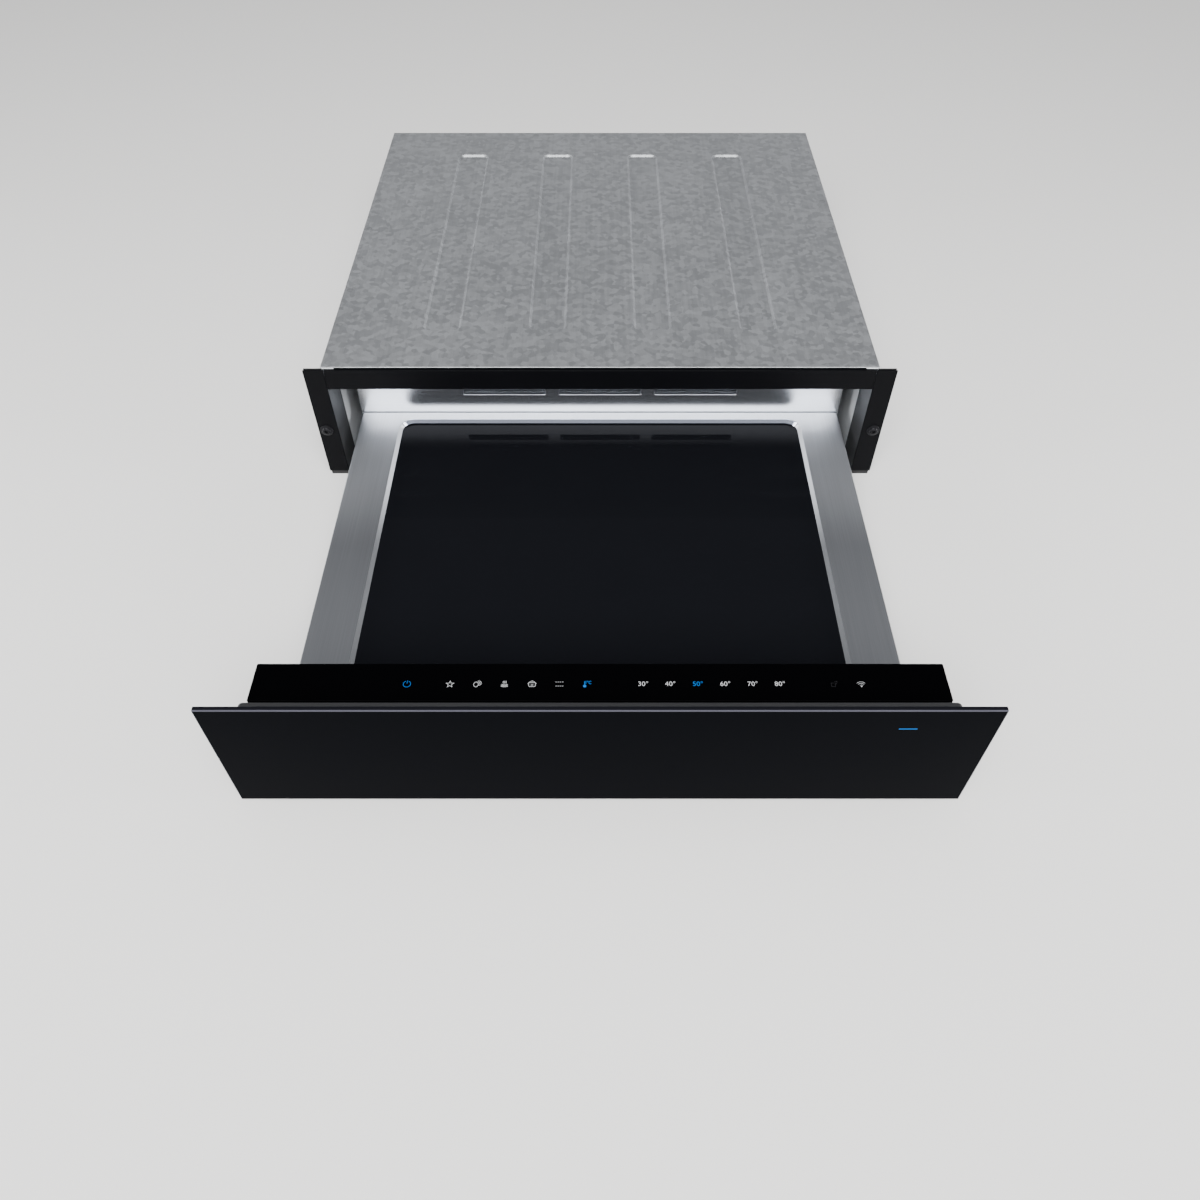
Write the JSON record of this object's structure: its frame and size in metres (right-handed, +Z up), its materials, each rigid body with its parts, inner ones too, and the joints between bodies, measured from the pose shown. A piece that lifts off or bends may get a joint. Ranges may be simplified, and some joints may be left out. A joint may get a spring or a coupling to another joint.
{
  "type": "built-in warming drawer",
  "caption": "Built-in warming drawer, open: steel housing, black glass front with a touch strip, and a stainless tray with a black glass hot plate on full-extension runners.",
  "frame": {"origin": "centre of the housing's underside, which rests on the cabinet shelf", "axes": "+X to the right of someone facing the drawer, +Y into the cabinet, +Z up"},
  "size_m": [0.594, 0.9358, 0.14],
  "materials": {
    "galvanised_sheet": "hot-dip galvanised steel with a faint spangle, satin",
    "black_trim": "fine black powder coat, low sheen",
    "black_screw": "black zinc-plated screw, low sheen",
    "front_glass": "back-painted black tempered glass, polished, ground edge",
    "touch_glass": null,
    "hot_plate_glass": "black glass-ceramic, polished",
    "grey_carrier": "dark grey moulded plastic, fine grain",
    "black_moulding": "black moulded plastic",
    "black_box": "black coated steel, low sheen",
    "pale_moulding": "off-white moulded plastic",
    "blue_light": "clear blue light pipe, lit",
    "stainless": "stainless steel, brushed along the drawer",
    "runner_zinc": "bright zinc-plated steel",
    "circuit_board": "green circuit board with black parts",
    "plate_seal": "black heat-proof silicone",
    "insulation": "pale mineral-fibre board",
    "heating_tube": "dark oxidised steel tube",
    "motor_can": "zinc-plated motor can, satin"
  },
  "bodies": {
    "housing": {"base_pan": "galvanised_sheet", "left_side_panel": "galvanised_sheet", "right_side_panel": "galvanised_sheet", "rear_panel": "galvanised_sheet", "top_cover": "galvanised_sheet", "left_front_trim": "black_trim", "right_front_trim": "black_trim", "front_rail": "black_trim", "left_flange_screw": "black_screw", "right_flange_screw": "black_screw", "latch_body": "black_moulding", "terminal_box": "pale_moulding", "mains_gland": "black_moulding", "power_module": "black_moulding", "left_rail_bracket": "runner_zinc", "right_rail_bracket": "runner_zinc", "left_rail_outer_member": "runner_zinc", "right_rail_outer_member": "runner_zinc"},
    "latch_plunger": {"latch_plunger": "pale_moulding"},
    "middle_rails": {"left_rail_middle_member": "runner_zinc", "right_rail_middle_member": "runner_zinc"},
    "outer_cages": {"left_rail_outer_cage": "runner_zinc", "right_rail_outer_cage": "runner_zinc"},
    "inner_cages": {"left_rail_inner_cage": "runner_zinc", "right_rail_inner_cage": "runner_zinc"},
    "drawer": {"left_rail_inner_member": "runner_zinc", "right_rail_inner_member": "runner_zinc", "front_glass": "front_glass", "front_carrier": "grey_carrier", "status_light_pipe": "blue_light", "front_box": "black_box", "touch_panel_frame": "black_moulding", "touch_panel_glass": "touch_glass", "control_board": "circuit_board", "front_inner_panel": "stainless", "tray_top": "stainless", "hot_plate_glass": "hot_plate_glass", "hot_plate_seal": "plate_seal", "hot_plate_support": "galvanised_sheet", "plate_heater": "heating_tube", "heater_insulation": "insulation", "drawer_pan": "galvanised_sheet", "drawer_rear_wall": "stainless", "fan_box": "galvanised_sheet", "fan_motor": "motor_can", "air_heater": "heating_tube", "temperature_sensor": "runner_zinc", "thermal_cutout": "pale_moulding"},
    "fan_rotor": {"fan_impeller": "black_moulding"}
  },
  "joints": [
    {"name": "drawer_slide", "type": "slide", "parent": "housing", "child": "drawer", "axis": [0, 1, 0], "range_m": [0, 0.385]},
    {"name": "middle_rail_slide", "type": "slide", "parent": "housing", "child": "middle_rails", "axis": [0, 1, 0], "range_m": [0, 0.1925]},
    {"name": "outer_cage_slide", "type": "slide", "parent": "housing", "child": "outer_cages", "axis": [0, 1, 0], "range_m": [0, 0.09625]},
    {"name": "inner_cage_slide", "type": "slide", "parent": "housing", "child": "inner_cages", "axis": [0, 1, 0], "range_m": [0, 0.28875]},
    {"name": "latch_plunger_slide", "type": "slide", "parent": "housing", "child": "latch_plunger", "axis": [0, 1, 0], "range_m": [0, 0.005], "stiffness_N_per_m": 400},
    {"name": "fan_spin", "type": "hinge", "parent": "drawer", "child": "fan_rotor", "pos_m": [0, -0.184, 0.0791], "axis": [0, 1, 0], "continuous": true}
  ],
  "couplings": [
    {"joint": "middle_rail_slide", "follows": "drawer_slide", "ratio": 0.5},
    {"joint": "outer_cage_slide", "follows": "drawer_slide", "ratio": 0.25},
    {"joint": "inner_cage_slide", "follows": "drawer_slide", "ratio": 0.75}
  ]
}
